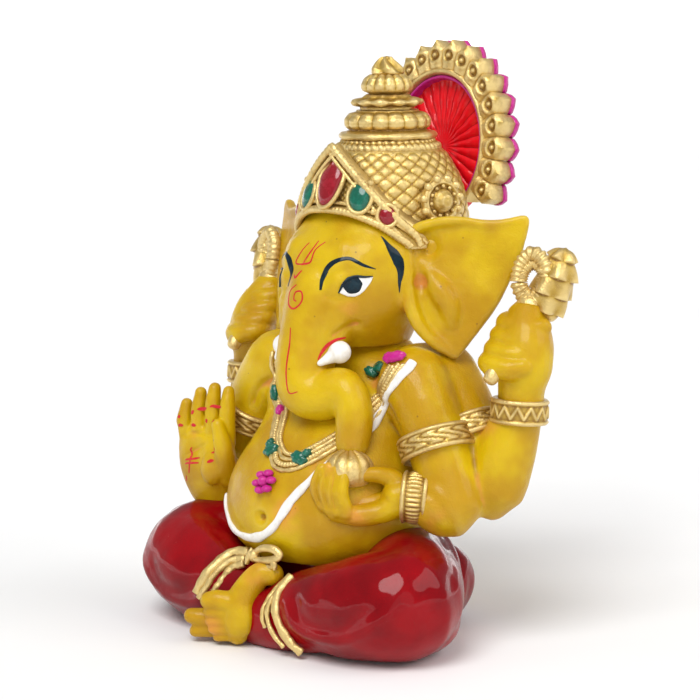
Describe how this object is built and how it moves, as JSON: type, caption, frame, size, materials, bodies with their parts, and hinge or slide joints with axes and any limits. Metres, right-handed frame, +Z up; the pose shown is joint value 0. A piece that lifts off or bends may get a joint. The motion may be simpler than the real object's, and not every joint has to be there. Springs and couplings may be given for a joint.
{
  "type": "seated elephant-headed idol",
  "caption": "Seated four-armed elephant-headed figure in yellow resin with a gold crown, a petalled halo and a red lower cloth, made of many fitted castings.",
  "frame": {"origin": "on the surface the idol stands on, in the middle plane of the head and crown, under the middle of the seat", "axes": "+Z up, the idol faces -Y, its own left hand is on +X"},
  "size_m": [0.096, 0.0782, 0.127],
  "materials": {
    "skin_resin": "translucent mustard-yellow cast resin, glossy, paler and orange where worn in the creases",
    "red_lacquer": "thick glossy deep-red lacquer over resin",
    "gold_paint": "semi-metallic gold paint, brighter on the raised edges",
    "white_paint": "gloss white paint",
    "green_enamel": "glossy green enamel paint",
    "ruby_enamel": "glossy ruby-red enamel paint",
    "magenta_enamel": "glossy magenta enamel paint",
    "scarlet_enamel": "bright scarlet enamel paint",
    "teal_ink": "dark teal enamel brushed on for the brows, eyes and hair",
    "red_line": "thin red paint lines on the trunk, lips and palm"
  },
  "bodies": {
    "root": {"seat_base": "red_lacquer", "left_leg": "red_lacquer", "right_leg": "red_lacquer", "left_hem": "gold_paint", "right_hem": "gold_paint", "right_foot": "skin_resin", "waist_knot": "gold_paint", "torso": "skin_resin", "sacred_thread": "white_paint", "necklace": "gold_paint", "necklace_stones": "green_enamel", "pendant": "magenta_enamel", "left_front_arm": "skin_resin", "left_rear_arm": "skin_resin", "right_front_arm": "skin_resin", "right_rear_arm": "skin_resin", "left_front_armlet": "gold_paint", "left_rear_armlet": "gold_paint", "right_front_armlet": "gold_paint", "right_rear_armlet": "gold_paint", "left_front_bangle": "gold_paint", "left_rear_bangle": "gold_paint", "right_front_bangle": "gold_paint", "right_rear_bangle": "gold_paint", "sweet_hand": "skin_resin", "blessing_hand": "skin_resin", "left_fist": "skin_resin", "right_fist": "skin_resin", "modak": "gold_paint", "goad": "gold_paint", "noose": "gold_paint", "head": "skin_resin", "trunk": "skin_resin", "left_ear": "skin_resin", "right_ear": "skin_resin", "left_tusk": "white_paint", "right_tusk": "white_paint", "tiara": "gold_paint", "teardrop_gem": "ruby_enamel", "green_gems": "green_enamel", "red_gems": "ruby_enamel", "dome": "gold_paint", "left_rosette": "gold_paint", "right_rosette": "gold_paint", "bead_ring": "gold_paint", "lotus_tier": "gold_paint", "lip_tier": "gold_paint", "bulb_tier": "gold_paint", "finial": "gold_paint", "halo_ring": "gold_paint", "halo_panel": "scarlet_enamel"}
  },
  "joints": []
}
